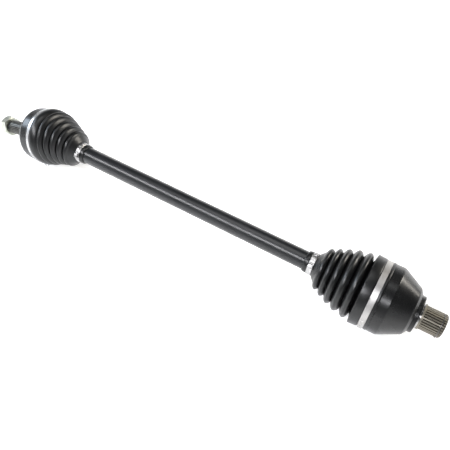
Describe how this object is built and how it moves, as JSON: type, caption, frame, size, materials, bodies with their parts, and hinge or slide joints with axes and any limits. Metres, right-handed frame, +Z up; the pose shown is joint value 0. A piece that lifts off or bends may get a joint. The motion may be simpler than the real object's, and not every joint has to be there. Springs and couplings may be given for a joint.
{
  "type": "constant velocity axle shaft",
  "caption": "Drive half-shaft: a round bar between a plunging ball joint with a splined stub and a fixed ball joint with a splined, threaded stub, both under bellows boots.",
  "frame": {"origin": "middle of the bar, half way between the two joint centres, on the bar's axis", "axes": "+X along the bar towards the inner (differential) stub, +Z up; the outer joint hangs down 14 degrees in the XZ plane at rest"},
  "size_m": [0.8319, 0.1072, 0.1072],
  "materials": {
    "black_shaft_paint": "semi-gloss black e-coat",
    "black_bell_paint": "gloss black e-coat on the bell; brown-grey phosphate on the splined stub",
    "zinc_steel": "bright zinc plate, faintly yellow",
    "stainless_band": "satin stainless strip",
    "black_boot": "semi-matte black thermoplastic rubber",
    "ground_steel": "ground and hardened steel",
    "ball_steel": "polished bearing steel",
    "spring_steel": "dark spring steel"
  },
  "bodies": {
    "shaft": {"axle_bar": "black_shaft_paint", "outer_joint_race": "ground_steel", "outer_race_clip": "spring_steel", "outer_boot_clamp_small": "stainless_band", "outer_boot": "black_boot", "inner_joint_race": "ground_steel", "inner_race_clip": "spring_steel", "inner_boot_clamp_small": "stainless_band"},
    "outer_pitch_ball": {"outer_ball_1": "ball_steel"},
    "outer_yaw_ball": {"outer_ball_4": "ball_steel"},
    "outer_cage_set": {"outer_joint_cage": "ground_steel", "outer_ball_2": "ball_steel", "outer_ball_3": "ball_steel", "outer_ball_5": "ball_steel", "outer_ball_6": "ball_steel"},
    "wheel_end": {"outer_joint_housing": "black_bell_paint", "axle_nut": "zinc_steel", "outer_boot_clamp_large": "stainless_band"},
    "inner_pitch_ball": {"inner_ball_1": "ball_steel"},
    "inner_yaw_ball": {"inner_ball_4": "ball_steel"},
    "inner_cage_set": {"inner_joint_cage": "ground_steel", "inner_ball_2": "ball_steel", "inner_ball_3": "ball_steel", "inner_ball_5": "ball_steel", "inner_ball_6": "ball_steel"},
    "inner_boot_carrier": {"inner_boot": "black_boot"},
    "differential_end": {"inner_joint_housing": "black_bell_paint", "inner_ball_stop_ring": "spring_steel", "inner_stub_snap_ring": "spring_steel", "inner_boot_clamp_large": "stainless_band"}
  },
  "joints": [
    {"name": "outer_pitch", "type": "hinge", "parent": "shaft", "child": "outer_pitch_ball", "pos_m": [-0.316, 0, 0], "axis": [0, 1, 0], "range_deg": [-7, 21], "deforming": ["outer_boot"]},
    {"name": "outer_yaw", "type": "hinge", "parent": "outer_pitch_ball", "child": "outer_yaw_ball", "pos_m": [-0.316, 0, 0], "axis": [-0.1219, 0, 0.9925], "range_deg": [-28, 28]},
    {"name": "outer_cage_turn", "type": "hinge", "parent": "outer_pitch_ball", "child": "outer_cage_set", "pos_m": [-0.316, 0, 0], "axis": [-0.1219, 0, 0.9925], "range_deg": [-14, 14]},
    {"name": "outer_pitch_housing", "type": "hinge", "parent": "outer_yaw_ball", "child": "wheel_end", "pos_m": [-0.316, 0, 0], "axis": [0, 1, 0], "range_deg": [-7, 21]},
    {"name": "inner_pitch", "type": "hinge", "parent": "shaft", "child": "inner_pitch_ball", "pos_m": [0.316, 0, 0], "axis": [0, 1, 0], "range_deg": [-8.85, 8.85], "deforming": ["inner_boot"]},
    {"name": "inner_yaw", "type": "hinge", "parent": "inner_pitch_ball", "child": "inner_yaw_ball", "pos_m": [0.316, 0, 0], "axis": [0, 0, 1], "range_deg": [-17.7, 17.7]},
    {"name": "inner_cage_turn", "type": "hinge", "parent": "inner_pitch_ball", "child": "inner_cage_set", "pos_m": [0.316, 0, 0], "axis": [0, 0, 1], "range_deg": [-8.85, 8.85]},
    {"name": "inner_pitch_housing", "type": "hinge", "parent": "inner_yaw_ball", "child": "inner_boot_carrier", "pos_m": [0.316, 0, 0], "axis": [0, 1, 0], "range_deg": [-8.85, 8.85]},
    {"name": "inner_plunge", "type": "slide", "parent": "inner_boot_carrier", "child": "differential_end", "axis": [1, 0, 0], "range_m": [-0.008, 0.008]}
  ],
  "couplings": [
    {"joint": "outer_pitch_housing", "follows": "outer_pitch", "ratio": 1},
    {"joint": "outer_cage_turn", "follows": "outer_yaw", "ratio": 0.5},
    {"joint": "inner_pitch_housing", "follows": "inner_pitch", "ratio": 1},
    {"joint": "inner_cage_turn", "follows": "inner_yaw", "ratio": 0.5}
  ]
}
